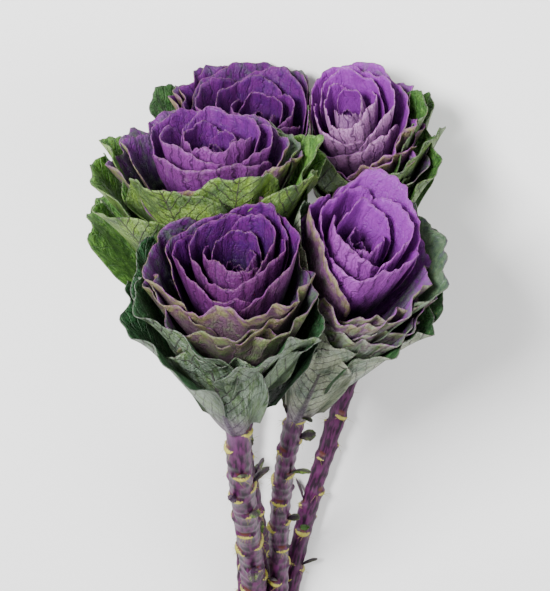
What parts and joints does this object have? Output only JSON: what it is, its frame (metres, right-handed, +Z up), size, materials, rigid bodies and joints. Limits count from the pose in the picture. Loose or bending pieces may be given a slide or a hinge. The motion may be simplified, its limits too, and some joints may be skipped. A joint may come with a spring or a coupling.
{
  "type": "purple kale bunch",
  "caption": "Bunch of cut purple flowering kale lying on its side, with rose-like leafy heads above a fan of woody scarred stems, for flower arrangements.",
  "frame": {"origin": "on the surface the bunch lies on, under the middle of its bounding box", "axes": "+Y along the stems towards their cut ends, so the heads look towards -Y, and +Z up"},
  "size_m": [0.2047, 0.4276, 0.2287],
  "materials": {
    "kale_stem": "smooth purple bark with a grey bloom and pale yellow-green leaf scars",
    "kale_outer_leaf": "waxy matt green leaf with purple veins",
    "kale_rose_leaf": "waxy satin violet leaf with darker veins"
  },
  "bodies": {
    "root": {"front_outer_leaves": "kale_outer_leaf", "front_rose": "kale_rose_leaf", "front_stem": "kale_stem", "right_outer_leaves": "kale_outer_leaf", "right_rose": "kale_rose_leaf", "right_stem": "kale_stem", "left_outer_leaves": "kale_outer_leaf", "left_rose": "kale_rose_leaf", "left_stem": "kale_stem", "back_outer_leaves": "kale_outer_leaf", "back_rose": "kale_rose_leaf", "back_stem": "kale_stem", "low_outer_leaves": "kale_outer_leaf", "low_rose": "kale_rose_leaf", "low_stem": "kale_stem"}
  },
  "joints": []
}
